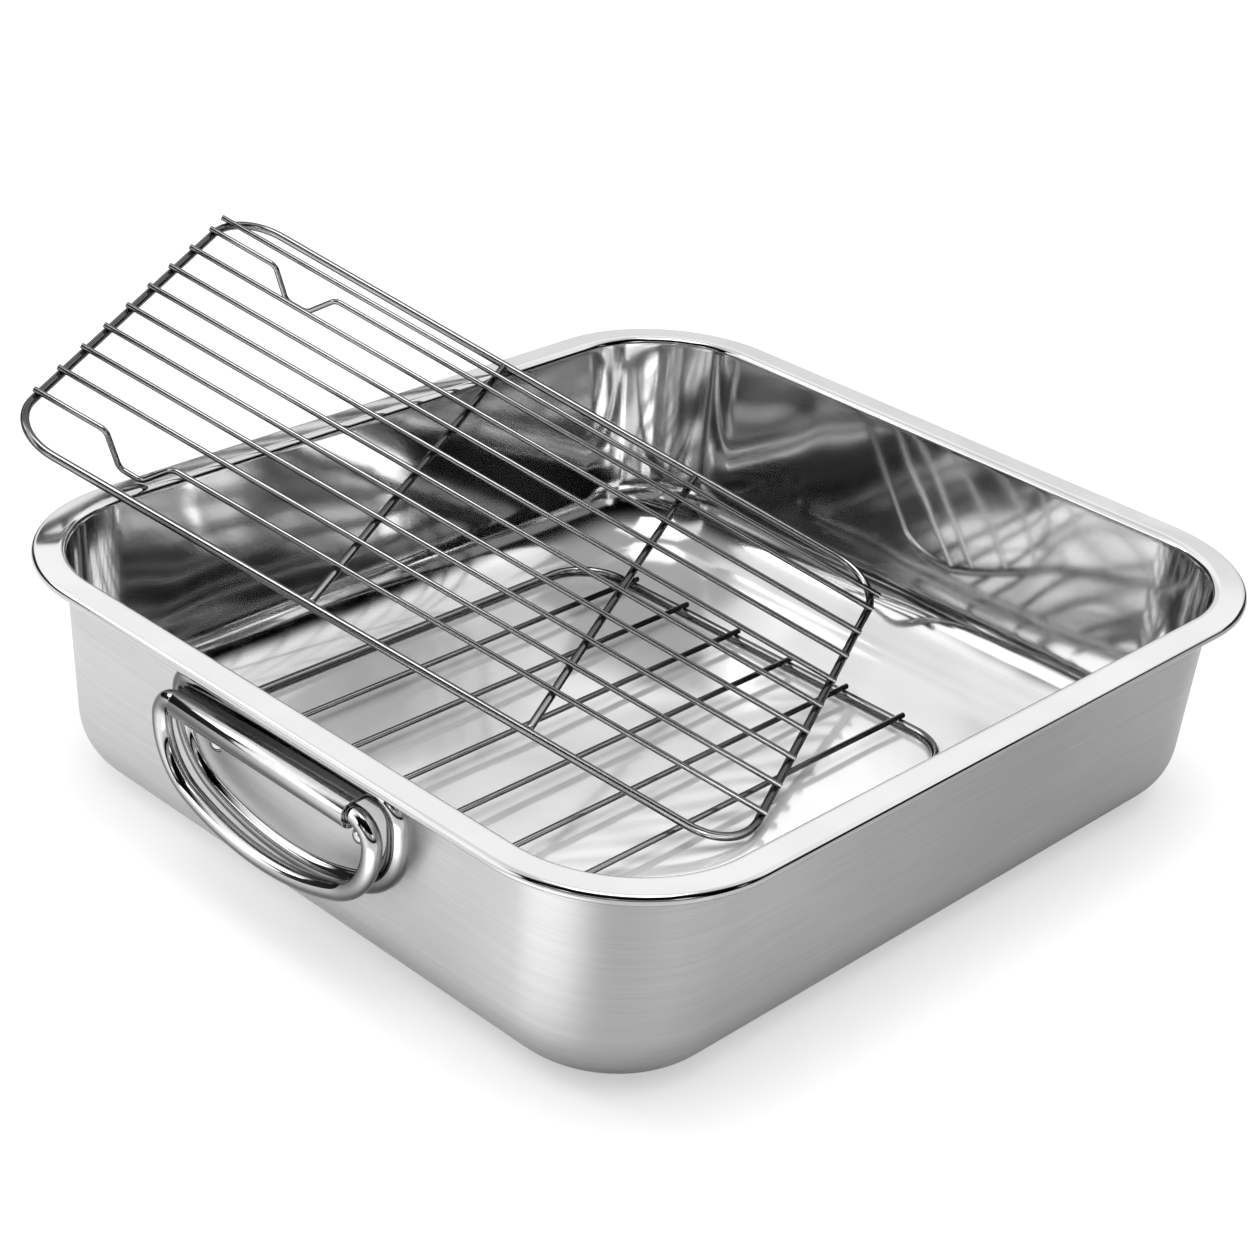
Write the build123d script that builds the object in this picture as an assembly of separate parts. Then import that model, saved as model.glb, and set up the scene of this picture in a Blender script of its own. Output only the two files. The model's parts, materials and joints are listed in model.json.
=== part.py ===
from build123d import *
import math
import os

# Roasting pan with drop handles and two wire racks. Millimetres, +Z up.
# The origin is the middle of the base's underside. X runs along the two short sides, which carry
# the handles, and Y along the two long sides. The front handle is on the -Y side.

# Pan: one deep-drawn sheet with a flat rim and a curled edge
rim_width = 312.0
rim_length = 340.0
rim_height = 83.0
rim_corner_radius = 56.0
sheet = 0.8
flange_width = 9.4
lip_radius = 2.4
curl_diameter = 3.8
curl_turn = 205.0
wall_draft = 3.2
cove_radius = 23.0

# Handle bracket: a pressed plate with a raised border and a sleeve curled round the handle's bar
bracket_sheet = 1.6
bracket_seat = 0.02
border_width = 7.5
border_height = 4.2
border_span = 102.4
border_rise = 4.2
border_depth = 38.4
border_top_corner = 6.5
border_low_corner = 25.0
border_sole_radius = 98.0
border_hollow = 1.2
sleeve_length = 83.0
sleeve_turn = 212.0
rivet_spread = 69.0
rivet_drop = 15.0
rivet_diameter = 6.0
rivet_crown = 1.8

# Drop handle: one round rod bent to a D, its two ends meeting inside the sleeve
rod_diameter = 6.4
bar_below_rim = 15.5
bar_stand_off = 9.8
bar_clearance = 0.08
handle_span = 100.6
handle_depth = 37.1
handle_top_corner = 7.5
handle_low_corner = 24.0
handle_sole_radius = 97.0
rod_end_gap = 1.0

# Wires of the racks
frame_wire = 3.2
grid_wire = 2.2
cross_wire = 3.0
frame_corner_radius = 20.0
weld_gap = 0.05
wire_overhang = 1.6
rest_gap = 0.3

# Flat rack on the pan's floor
low_width = 191.0
low_length = 226.0
low_centre_x = -23.5
low_centre_y = -18.0
low_spaces = 7

# Tilted rack: a foot and the far rail lie on the left rim, and the low end on the flat rack
top_width = 176.0
top_length = 290.0
top_heading = 27.4
top_foot_from_edge = 6.9
top_corner_from_rear = 27.6
top_rail_to_foot_wire = 22.0
top_rail_to_edge_wire = 12.0
top_spaces = 8
cross_from_left = 121.0
cross_spacing = 86.0
foot_from_left = 41.0
foot_depth = 12.0
foot_sole = 9.0
foot_leg_run = 9.0
foot_bend_radius = 4.5

# Values that follow from the sizes above
curl_radius = curl_diameter / 2
rod_radius = rod_diameter / 2
frame_radius = frame_wire / 2
grid_radius = grid_wire / 2
cross_radius = cross_wire / 2
grid_level = frame_radius + weld_gap + grid_radius
low_level = sheet + rest_gap + frame_radius
low_pitch = low_width / low_spaces
bar_height = rim_height - bar_below_rim
sleeve_inner = rod_radius + bar_clearance
sleeve_outer = sleeve_inner + bracket_sheet
seat_steps = 40


def along(degrees):
    """Unit vector in the plane, turned from its x axis."""
    angle = math.radians(degrees)
    return Vector(math.cos(angle), math.sin(angle))


def wall_outset(height):
    """How far the outside of the wall lies inside the rim's outer edge at a height."""
    draft = math.radians(wall_draft)
    below_lip = rim_height - lip_radius - height
    return flange_width + (lip_radius - sheet) / math.cos(draft) + below_lip * math.tan(draft)


def sheet_section():
    """The sheet's section, x outwards from the rim's edge and y up, and where the floor starts."""
    half = sheet / 2
    slant = half / math.cos(math.radians(wall_draft))
    cove_middle = cove_radius - half
    lip_middle = lip_radius - half
    curl_middle = curl_radius - half
    cove_height = half + cove_middle
    lip_height = rim_height - half - lip_middle
    low = cove_height - cove_middle * math.sin(math.radians(wall_draft))
    high = lip_height + lip_middle * math.sin(math.radians(wall_draft))
    low_point = Vector(-wall_outset(low) - slant, low)
    high_point = Vector(-wall_outset(high) - slant, high)
    cove_centre = low_point - along(-wall_draft) * cove_middle
    lip_centre = high_point + along(-wall_draft) * lip_middle
    curl_centre = Vector(-curl_radius, rim_height - curl_radius)

    def skin(offset):
        """The sheet's middle line moved towards the inside of the pan."""
        cove = CenterArc(cove_centre, cove_middle - offset, -90, 90 - wall_draft)
        lip = CenterArc(lip_centre, lip_middle + offset, 180 - wall_draft, wall_draft - 90)
        curl = CenterArc(curl_centre, curl_middle + offset, 90, -curl_turn)
        return [cove, Line(cove @ 1, lip @ 0), lip, Line(lip @ 1, curl @ 0), curl]

    inside = skin(half)
    outside = skin(-half)
    ends = [Line(inside[0] @ 0, outside[0] @ 0), Line(inside[-1] @ 1, outside[-1] @ 1)]
    return make_face(inside + outside + ends), cove_centre.X


def carry_round(section, width, length, corner_radius):
    """Carry a section, with x outwards, round a rectangle with rounded corners."""
    corner_x = width / 2 - corner_radius
    corner_y = length / 2 - corner_radius
    runs = [2 * corner_x, 2 * corner_y]
    pieces = []
    for k, (side_x, side_y) in enumerate([(1, 1), (-1, 1), (-1, -1), (1, -1)]):
        centre = Vector(side_x * corner_x, side_y * corner_y)
        start = along(90 * k)
        finish = along(90 * k + 90)
        first = Plane(centre + start * corner_radius, x_dir=start, z_dir=start.rotate(Axis.Z, -90))
        last = Plane(centre + finish * corner_radius, x_dir=finish, z_dir=start)
        pieces.append(revolve(first * section, Axis(centre, (0, 0, 1)), 90))
        pieces.append(extrude(last * section, -runs[k % 2]))
    return pieces


def joined(pieces):
    """One solid from pieces that meet face to face."""
    return pieces[0].fuse(*pieces[1:]).clean()


def make_pan():
    """Floor, cove, drafted wall, lip, flat rim and curled edge, all of one sheet."""
    section, floor_edge = sheet_section()
    walls = carry_round(section, rim_width, rim_length, rim_corner_radius)
    floor_outline = RectangleRounded(
        rim_width + 2 * floor_edge, rim_length + 2 * floor_edge, rim_corner_radius + floor_edge
    )
    return joined(walls + [extrude(floor_outline, sheet)])


def d_outline(span, rise, depth, top_corner, low_corner, sole_radius):
    """A D lying on its back: the edges of its middle line, from the top's middle and round."""
    half = span / 2
    sole_centre = Vector(0, sole_radius - depth)
    low_x = half - low_corner
    low_y = sole_centre.Y - math.sqrt((sole_radius - low_corner) ** 2 - low_x**2)
    lean = math.degrees(math.atan2(low_x, sole_centre.Y - low_y))
    edges = []
    for side in (1, -1):
        top_centre = Vector(side * (half - top_corner), rise - top_corner)
        low_centre = Vector(side * low_x, low_y)
        start = 0 if side == 1 else 180
        top = CenterArc(top_centre, top_corner, 90, -90 * side)
        low = CenterArc(low_centre, low_corner, start, -(90 - lean) * side)
        sole = CenterArc(sole_centre, sole_radius, -90, lean * side)
        edges.append([top, Line(top @ 1, low @ 0), low, sole])
    return edges


def wall_plane(side):
    """Plane on the wall's outside, level with the handle's bar: x along it, y up, z outwards."""
    draft = math.radians(wall_draft)
    outwards = Vector(0, side * math.cos(draft), -math.sin(draft))
    origin = Vector(0, side * (rim_length / 2 - wall_outset(bar_height)), bar_height)
    return Plane(origin + outwards * bracket_seat, x_dir=(-side, 0, 0), z_dir=outwards)


def bar_plane(side):
    """Upright plane through the axis of the handle's bar: x along it, y up, z outwards."""
    y = side * (rim_length / 2 - wall_outset(bar_height) + bar_stand_off)
    return Plane((0, y, bar_height), x_dir=(-side, 0, 0), z_dir=(0, side, 0))


def make_bracket(side):
    """Plate on the wall, raised border round it, and the sleeve with its strip from the border."""
    wall = wall_plane(side)
    right, left = d_outline(
        border_span, border_rise, border_depth,
        border_top_corner, border_low_corner, border_sole_radius,
    )
    loop = Wire([Line(left[0] @ 0, right[0] @ 0)] + right + left)
    plate = extrude(wall * make_face(loop), bracket_sheet)
    start = Plane(loop @ 0, x_dir=(0, 1, 0), z_dir=(1, 0, 0))
    border = sweep(wall * start * border_section(), wall * loop)
    back = border_height - border_width / 2 - bar_stand_off
    outer = [
        Line((back, sleeve_outer), (0, sleeve_outer)),
        CenterArc((0, 0), sleeve_outer, 90, -sleeve_turn),
    ]
    inner = [
        Line((back, sleeve_inner), (0, sleeve_inner)),
        CenterArc((0, 0), sleeve_inner, 90, -sleeve_turn),
    ]
    ends = [Line(outer[0] @ 0, inner[0] @ 0), Line(outer[1] @ 1, inner[1] @ 1)]
    across = Plane((sleeve_length / 2, 0, 0), x_dir=(0, 0, 1), z_dir=(-1, 0, 0))
    sleeve = extrude(bar_plane(side) * across * make_face(outer + inner + ends), sleeve_length)
    return joined([plate, border, sleeve])


def border_section():
    """The border's section, x away from the D's middle and y outwards, hollowed onto the plate."""
    radius = border_width / 2
    centre = Vector(0, border_height - radius)
    hollow_height = bracket_sheet + border_hollow - centre.Y
    turn = 180 - math.degrees(math.asin(hollow_height / (radius + border_hollow)))
    crown = CenterArc(centre, radius, 0, turn)
    hollow = CenterArc(centre + along(turn) * (radius + border_hollow), border_hollow, turn - 180, 90 - turn)
    foot = hollow @ 1
    return make_face([
        crown, hollow,
        Line(foot, (foot.X, 0)),
        Line((foot.X, 0), (radius, 0)),
        Line((radius, 0), crown @ 0),
    ])


def make_rivets(side):
    """Two domed rivet heads on the plate, inside its border."""
    radius = rivet_diameter / 2
    ball = (radius**2 + rivet_crown**2) / (2 * rivet_crown)
    half_section = make_face([
        Line((0, 0), (radius, 0)),
        ThreePointArc((radius, 0), dome_point(radius / 2, ball), (0, rivet_crown)),
        Line((0, rivet_crown), (0, 0)),
    ])
    dome = revolve(Plane.XZ * half_section, Axis.Z)
    face = wall_plane(side) * Pos(0, -rivet_drop, bracket_sheet)
    return Compound([face * Pos(x, 0, 0) * dome for x in (-rivet_spread / 2, rivet_spread / 2)])


def dome_point(x, ball):
    """A point of the rivet's dome at a distance from its axis."""
    return (x, rivet_crown - ball + math.sqrt(ball**2 - x**2))


def make_handle(side):
    """Round rod bent to a D round the bar's axis, hanging down."""
    right, left = d_outline(
        handle_span, 0, handle_depth,
        handle_top_corner, handle_low_corner, handle_sole_radius,
    )
    half_gap = rod_end_gap / 2
    ends = [Line((half_gap, 0), right[0] @ 0), Line(left[0] @ 0, (-half_gap, 0))]
    rod = Wire([ends[0]] + right + left + [ends[1]])
    section = Plane((half_gap, 0, 0), z_dir=(1, 0, 0)) * Circle(rod_radius)
    return sweep(bar_plane(side) * section, bar_plane(side) * rod)


def make_frame(width, length):
    """Closed frame of thick wire with round corners, in its own plane."""
    return joined(carry_round(Circle(frame_radius), width, length, frame_corner_radius))


def straight_wire(radius, start, finish):
    """Round bar between two points."""
    axis = finish - start
    return extrude(Plane(start, z_dir=axis) * Circle(radius), axis.length)


def foot_wire(left, right):
    """Grid wire that dips to a flat foot near its left end; x along it and z up."""
    centre = foot_from_left
    top_out = foot_sole / 2 + foot_leg_run
    points = [
        (left, 0), (centre - top_out, 0), (centre - foot_sole / 2, -foot_depth),
        (centre + foot_sole / 2, -foot_depth), (centre + top_out, 0), (right, 0),
    ]
    path = Plane.XZ * FilletPolyline(*points, radius=foot_bend_radius)
    section = Plane((left, 0, 0), x_dir=(0, 1, 0), z_dir=(1, 0, 0)) * Circle(grid_radius)
    return sweep(section, path)


def low_bar_supports():
    """Where the flat rack's lines lie, and how high, for the tilted rack's low end to rest on."""
    wires = [low_centre_x - low_width / 2 + k * low_pitch for k in range(1, low_spaces)]
    supports = [(x, low_level + grid_level, grid_radius) for x in wires]
    for side in (-1, 1):
        supports.append((low_centre_x + side * low_width / 2, low_level, frame_radius))
    return supports


def seat_tilted_rack():
    """Plane of the tilted frame with its origin at the low front corner, x towards the low end."""
    heading = along(top_heading)
    leg_turn = math.atan2(foot_depth, foot_leg_run)
    foot_x = foot_from_left - top_length
    toe = foot_x + foot_sole / 2 - foot_bend_radius * math.tan(leg_turn / 2)
    toe_rise = foot_bend_radius - foot_depth + grid_level
    lip_x = flange_width - rim_width / 2
    lip_z = rim_height - lip_radius
    normal = Vector(0, 0, 1)
    height = 0
    for _ in range(seat_steps):
        to_low_end = Vector(heading.X, heading.Y, -normal.dot(heading) / normal.Z).normalized()
        to_far_rail = normal.cross(to_low_end)
        foot_shift = to_low_end * foot_x + to_far_rail * top_rail_to_foot_wire
        corner_x = top_foot_from_edge - rim_width / 2 - foot_shift.X
        corner_y = rim_length / 2 - top_corner_from_rear - to_far_rail.Y * top_width
        corner = Vector(corner_x, corner_y, height)
        # The near foot's toe, a bend whose lowest point rests on the flat rim
        foot = corner + to_low_end * toe + to_far_rail * top_rail_to_foot_wire
        foot_bend = foot_bend_radius * math.hypot(to_low_end.Z, normal.Z)
        foot_height = rim_height + rest_gap + grid_radius + foot_bend - toe_rise * normal.Z
        # The far rail, which crosses the rounded lip of the left wall
        far_corner = corner + to_far_rail * top_width
        rail = far_corner + to_low_end * ((lip_x - far_corner.X) / to_low_end.X)
        rail_slant = math.hypot(to_low_end.X, to_low_end.Z) / to_low_end.X
        rail_height = lip_z + (lip_radius + rest_gap + frame_radius) * rail_slant
        # The low end's bar, which rests on the first line of the flat rack that it meets
        bar_slant = math.hypot(to_far_rail.X, to_far_rail.Z) / abs(to_far_rail.X)
        landings = []
        for x, z, radius in low_bar_supports():
            along_bar = (x - corner.X) / to_far_rail.X
            if frame_corner_radius < along_bar < top_width - frame_corner_radius:
                bar = corner + to_far_rail * along_bar
                level = z + (radius + rest_gap + frame_radius) * bar_slant
                landings.append((level - bar.Z, bar.X, bar.Y, level))
        _, bar_x, bar_y, bar_level = max(landings)
        foot = Vector(foot.X, foot.Y, foot_height)
        rail = Vector(rail.X, rail.Y, rail_height)
        bar = Vector(bar_x, bar_y, bar_level)
        normal = (bar - foot).cross(rail - foot).normalized()
        run = Vector(bar_x - corner.X, bar_y - corner.Y)
        height = bar_level + normal.dot(run) / normal.Z
    corner = Vector(corner.X, corner.Y, height)
    return Plane(corner, x_dir=to_low_end, z_dir=normal)


parts = {}
parts["pan"] = make_pan()
for end, side in (("front", -1), ("rear", 1)):
    parts[f"bracket_{end}"] = make_bracket(side)
    parts[f"rivets_{end}"] = make_rivets(side)
    parts[f"handle_{end}"] = make_handle(side)

low_plane = Pos(low_centre_x, low_centre_y, low_level)
parts["lower_frame"] = low_plane * make_frame(low_width, low_length)
for k in range(1, low_spaces):
    x = k * low_pitch - low_width / 2
    reach = low_length / 2 + wire_overhang
    ends = [Vector(x, -reach, grid_level), Vector(x, reach, grid_level)]
    parts[f"lower_wire_{k}"] = low_plane * straight_wire(grid_radius, *ends)

tilted = seat_tilted_rack()
parts["upper_frame"] = tilted * Pos(-top_length / 2, top_width / 2, 0) * make_frame(top_length, top_width)
left = -top_length - wire_overhang
wire_pitch = (top_width - 2 * top_rail_to_foot_wire) / top_spaces
for k in range(top_spaces + 1):
    y = top_width - top_rail_to_foot_wire - k * wire_pitch
    if k in (0, top_spaces):
        name = "upper_foot_wire_far" if k == 0 else "upper_foot_wire_near"
        wire = foot_wire(left + top_length, wire_overhang + top_length)
        parts[name] = tilted * Pos(-top_length, y, grid_level) * wire
    else:
        ends = [Vector(left, y, grid_level), Vector(wire_overhang, y, grid_level)]
        parts[f"upper_wire_{k}"] = tilted * straight_wire(grid_radius, *ends)
y = top_width - top_rail_to_edge_wire
ends = [Vector(left, y, grid_level), Vector(wire_overhang, y, grid_level)]
parts["upper_edge_wire"] = tilted * straight_wire(grid_radius, *ends)
cross_level = grid_level - grid_radius - weld_gap - cross_radius
for name, x in (("left", cross_from_left), ("right", cross_from_left + cross_spacing)):
    margin = frame_radius + weld_gap
    ends = [
        Vector(x - top_length, margin, cross_level),
        Vector(x - top_length, top_width - margin, cross_level),
    ]
    parts[f"upper_cross_wire_{name}"] = tilted * straight_wire(cross_radius, *ends)

os.makedirs("parts", exist_ok=True)
for name, solid in parts.items():
    export_step(solid, f"parts/{name}.step")
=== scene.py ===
import json
import math

import bpy
from bpy.props import FloatProperty, FloatVectorProperty, IntProperty, PointerProperty
from mathutils import Matrix, Quaternion, Vector


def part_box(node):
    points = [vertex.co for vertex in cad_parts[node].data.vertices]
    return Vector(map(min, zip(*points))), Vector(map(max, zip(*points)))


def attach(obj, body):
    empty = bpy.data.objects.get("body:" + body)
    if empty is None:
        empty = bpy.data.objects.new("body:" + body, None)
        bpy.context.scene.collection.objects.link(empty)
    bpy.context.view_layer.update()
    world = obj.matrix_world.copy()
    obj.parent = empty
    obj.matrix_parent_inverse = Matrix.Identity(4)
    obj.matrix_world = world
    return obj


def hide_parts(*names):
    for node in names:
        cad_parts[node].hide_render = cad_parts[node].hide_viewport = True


bl_info = {
    "name": "Roasting Pan With Racks",
    "version": (1, 0, 0),
    "blender": (4, 5, 0),
    "location": "View3D > Sidebar > Roasting Pan",
    "description": "Dresses a steel roasting pan, its drop handles and two wire racks",
    "category": "Object",
}

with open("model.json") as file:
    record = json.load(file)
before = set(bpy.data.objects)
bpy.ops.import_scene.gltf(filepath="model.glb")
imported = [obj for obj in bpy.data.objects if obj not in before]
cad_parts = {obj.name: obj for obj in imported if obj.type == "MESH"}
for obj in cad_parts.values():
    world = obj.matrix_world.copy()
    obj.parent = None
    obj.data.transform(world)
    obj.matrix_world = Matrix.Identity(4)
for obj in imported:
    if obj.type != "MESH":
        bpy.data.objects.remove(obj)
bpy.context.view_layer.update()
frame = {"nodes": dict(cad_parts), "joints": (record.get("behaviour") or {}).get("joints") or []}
PAN_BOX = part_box("pan")

UP = Vector((0, 0, 1))
QUARTER = math.radians(90)

# Faces that turn by more than these shade as an edge, on the small pieces and on the pan's sheet
SMALL_EDGE = math.radians(40)
SHEET_EDGE = math.radians(50)

# Lengths in metres: the plane that shrinks to a point, the gaps at which vertices merge on a piece
# and along a seam, the reach of a wire's end, and the margin round what is picked as one flat
POINT_START = 0.001
SAME_POINT = 0.00001
SAME_SEAM = 0.00002
WIRE_REACH = 0.004
FLAT_BAND = 0.0002


# Sizes and colours


def size(name, description, default):
    """A length in metres."""
    return FloatProperty(name=name, description=description, default=default, unit="LENGTH", precision=5)


def angle(name, description, default):
    """An angle in radians."""
    return FloatProperty(name=name, description=description, default=default, unit="ROTATION")


def count(name, description, default):
    """A number of faces."""
    return IntProperty(name=name, description=description, default=default)


def colour(name, description, default):
    """A colour of three parts."""
    return FloatVectorProperty(
        name=name, description=description, default=default, subtype="COLOR", size=3, min=0, max=1
    )


class PanSizes(bpy.types.PropertyGroup):
    """Sizes of the drawn pan"""

    width: size("Width", "Over the rim, along the handle sides", PAN_BOX[1][0] - PAN_BOX[0][0])
    length: size("Length", "Over the rim, along the long sides", PAN_BOX[1][1] - PAN_BOX[0][1])
    height: size("Height", "From the base to the flat rim", PAN_BOX[1][2])
    sheet: size("Sheet", "Thickness of the steel", 0.0008)
    corner: size("Rim corner", "Radius of the rim's outer edge in plan", 0.056)
    flange: size("Flange", "From the outer edge to the lip's centre", 0.0094)
    lip: size("Lip", "Radius between the rim and the wall", 0.0024)
    curl: size("Curl", "Radius of the curled edge", 0.0019)
    curl_turn: angle("Curl turn", "How far the edge curls round", math.radians(205))
    draft: angle("Draft", "Slope of the walls", math.radians(3.2))
    cove: size("Cove", "Outside radius between the wall and the floor", 0.023)
    floor_rim: size("Floor rim", "Width of the faces along the floor's edge", 0.003)
    corner_steps: count("Corner steps", "Faces round a corner", 40)
    cove_steps: count("Cove steps", "Faces up the cove", 22)
    lip_steps: count("Lip steps", "Faces over the lip", 12)
    curl_steps: count("Curl steps", "Faces round the curled edge", 26)


class HandleSizes(bpy.types.PropertyGroup):
    """Sizes of the drop handles and their brackets"""

    rod: size("Rod", "Radius of the handle's rod", 0.0032)
    top_corner: size("Top corner", "Bend at the bar's ends", 0.0075)
    low_corner: size("Low corner", "Bend at the D's low corners", 0.024)
    sole: size("Sole", "Radius of the D's low side", 0.097)
    rod_gap: size("Rod gap", "Between the rod's ends inside the sleeve", 0.001)
    clearance: size("Clearance", "Between the rod and its sleeve", 0.00008)
    seat: size("Seat", "Between the bracket and the wall", 0.00002)
    plate: size("Plate", "Thickness of the bracket's plate", 0.0016)
    border: size("Border", "Width of the raised border", 0.0075)
    border_height: size("Border height", "From the wall to the border's crown", 0.0042)
    border_rise: size("Border rise", "From the bar up to the border's top middle line", 0.0042)
    border_depth: size("Border depth", "From the bar down to the border's low middle line", 0.0384)
    border_fillet: size("Border fillet", "Hollow between the border and the plate", 0.0012)
    border_top: size("Border top corner", "Bend of the border's top corners", 0.0065)
    border_low: size("Border low corner", "Bend of the border's low corners", 0.025)
    border_sole: size("Border sole", "Radius of the border's low side", 0.098)
    sleeve: size("Sleeve", "Length of the curled sleeve", 0.083)
    sleeve_turn: angle("Sleeve turn", "How far the sleeve wraps the bar", math.radians(212))
    rivet: size("Rivet", "Radius of a rivet's head", 0.003)
    rivet_crown: size("Rivet crown", "Height of a rivet's head", 0.0018)
    rivet_spread: size("Rivet spread", "Between the two rivets", 0.069)
    rivet_drop: size("Rivet drop", "From the bar down to the rivets", 0.015)
    rod_end: size("Rod end", "Softened edge of the rod's ends", 0.0003)
    sheet_edge: size("Sheet edge", "Softened edge of the sleeve", 0.0002)
    rod_sides: count("Rod sides", "Faces round the rod", 40)
    bend_steps: count("Bend steps", "Faces along a bend", 20)
    sleeve_steps: count("Sleeve steps", "Faces round the sleeve", 48)
    lip_steps: count("Lip steps", "Faces round the sleeve's lip", 8)
    crown_steps: count("Crown steps", "Faces over the border's crown", 24)
    fillet_steps: count("Fillet steps", "Faces down the border's hollow", 6)
    rivet_sides: count("Rivet sides", "Faces round a rivet", 32)
    dome_steps: count("Dome steps", "Faces over a rivet's dome", 10)


class RackSizes(bpy.types.PropertyGroup):
    """Sizes of the racks' wires"""

    frame_wire: size("Frame wire", "Radius of the frame's wire", 0.0016)
    grid_wire: size("Grid wire", "Radius of a grid wire", 0.0011)
    cross_wire: size("Cross wire", "Radius of a cross wire", 0.0015)
    corner: size("Frame corner", "Bend of the frame's corners", 0.020)
    foot_depth: size("Foot depth", "How far a foot dips", 0.012)
    foot_sole: size("Foot sole", "Length of a foot's flat", 0.009)
    foot_leg: size("Foot leg", "Run of a foot's slanted leg", 0.009)
    foot_bend: size("Foot bend", "Bends of a foot", 0.0045)
    sides: count("Sides", "Faces round a wire", 20)
    bend_steps: count("Bend steps", "Faces along a quarter bend", 16)
    foot_steps: count("Foot steps", "Faces along a foot's bend", 8)


class Finishes(bpy.types.PropertyGroup):
    """Colours of the finishes"""

    mirror: colour("Mirror", "Polished floor inside the pan", (0.94, 0.94, 0.94))
    # The walls' tint is darker than the floor's: painted shade on the same polished sheet
    wall: colour("Wall", "Polished inside of the walls", (0.80, 0.80, 0.80))
    rim: colour("Rim", "Polished rim and curl", (0.69, 0.69, 0.69))
    brushed: colour("Brushed", "Brushed outside", (0.72, 0.72, 0.72))
    bright: colour("Bright", "Polished handles and brackets", (0.86, 0.86, 0.86))
    chrome: colour("Chrome", "Plated rack wires", (0.80, 0.80, 0.80))
    paper: colour("Paper", "Ground under the pan", (0.88, 0.88, 0.88))
    # Painted shade on the ground, seen only in the metal's reflections on the right
    painted_shade_paper: colour("Shaded paper", "Ground that the right wall mirrors", (0.62, 0.62, 0.62))


# Pieces bent and drawn in edit mode


def start_piece():
    """Object mode with nothing selected."""
    if bpy.context.object and bpy.context.object.mode != "OBJECT":
        bpy.ops.object.mode_set(mode="OBJECT")
    bpy.ops.object.select_all(action="DESELECT")


def settle(name):
    """The active object under its name, at the origin with its place in its mesh."""
    piece = bpy.context.object
    piece.name = name
    piece.data.name = name
    bpy.ops.object.transform_apply(location=True, rotation=True, scale=True)
    return piece


class Bender:
    """Draws a section along straights and bends, as a tube bender does."""

    def __init__(self, place, heading, across):
        self.place = Vector(place)
        self.heading = Vector(heading).normalized()
        self.across = Vector(across).normalized()

    def straight(self, run):
        """Extrudes the selected section forwards."""
        step = self.heading * run
        bpy.ops.mesh.extrude_region_move(TRANSFORM_OT_translate={"value": step})
        self.place += step

    def bend(self, radius, turn, steps):
        """Spins the selected section round a centre to the left, or to the right if turn is minus."""
        side = math.copysign(1, turn)
        left = self.across.cross(self.heading)
        centre = self.place + left * radius * side
        axis = self.across
        bpy.ops.mesh.spin(steps=steps, angle=-turn, center=centre, axis=axis)
        swing = Quaternion(axis, turn)
        self.place = centre + swing @ (self.place - centre)
        self.heading = swing @ self.heading


def add_round_section(place, heading, radius, sides):
    """A ring of vertices square to its heading, selected in edit mode."""
    start_piece()
    turn = Vector(heading).to_track_quat("Z", "Y").to_euler()
    bpy.ops.mesh.primitive_circle_add(vertices=sides, radius=radius, location=place, rotation=turn)
    bpy.ops.object.transform_apply(location=True, rotation=True, scale=True)
    bpy.ops.object.mode_set(mode="EDIT")
    bpy.ops.mesh.select_all(action="SELECT")


def add_point(place):
    """One vertex, selected in edit mode."""
    start_piece()
    bpy.ops.mesh.primitive_plane_add(size=POINT_START, location=place)
    bpy.ops.object.transform_apply(location=True, rotation=True, scale=True)
    bpy.ops.object.mode_set(mode="EDIT")
    bpy.ops.mesh.select_mode(type="VERT")
    bpy.ops.mesh.select_all(action="SELECT")
    bpy.ops.mesh.merge(type="CENTER")


def close_loop(name):
    """Merges the last section with the first and turns the faces outwards."""
    bpy.ops.mesh.select_all(action="SELECT")
    bpy.ops.mesh.remove_doubles(threshold=SAME_SEAM)
    bpy.ops.mesh.normals_make_consistent(inside=False)
    bpy.ops.object.mode_set(mode="OBJECT")
    bpy.ops.object.shade_smooth()
    return settle(name)


def fill_openings():
    """Merges what the spins left double, fills every opening and turns the faces outwards."""
    bpy.ops.mesh.select_all(action="SELECT")
    bpy.ops.mesh.remove_doubles(threshold=SAME_POINT)
    bpy.ops.mesh.select_all(action="DESELECT")
    bpy.ops.mesh.select_mode(type="EDGE")
    bpy.ops.mesh.select_non_manifold()
    bpy.ops.mesh.fill_holes(sides=0)
    bpy.ops.mesh.select_all(action="SELECT")
    bpy.ops.mesh.normals_make_consistent(inside=False)


def cap_ends(name, rounding):
    """Closes both ends of a tube with softened edges."""
    fill_openings()
    bpy.ops.object.mode_set(mode="OBJECT")
    soften(rounding)
    bpy.ops.object.shade_smooth_by_angle(angle=SMALL_EDGE)
    return settle(name)


def soften(width):
    """Bevels the active object's sharp edges."""
    bevel = bpy.context.object.modifiers.new("Softened edges", "BEVEL")
    bevel.width = width
    bevel.segments = 2
    bevel.limit_method = "ANGLE"
    bevel.angle_limit = math.radians(50)
    bpy.ops.object.modifier_apply(modifier=bevel.name)


def paint(piece, *finishes):
    """Adds the named finishes to a piece, the first one for all its faces."""
    for finish in finishes:
        piece.data.materials.append(MATERIALS[finish])


def stand_for(piece, body, node):
    """A finished piece rides on its body and stands for its node."""
    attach(piece, body)
    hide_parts(node)


# Places read from the frame


def node_points(node):
    """The places of a node's vertices at rest."""
    item = frame["nodes"][node]
    return [item.matrix_world @ corner.co for corner in item.data.vertices]


def spread(points, direction):
    """Least and greatest distance of points along a direction."""
    reaches = [point.dot(direction) for point in points]
    return min(reaches), max(reaches)


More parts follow.
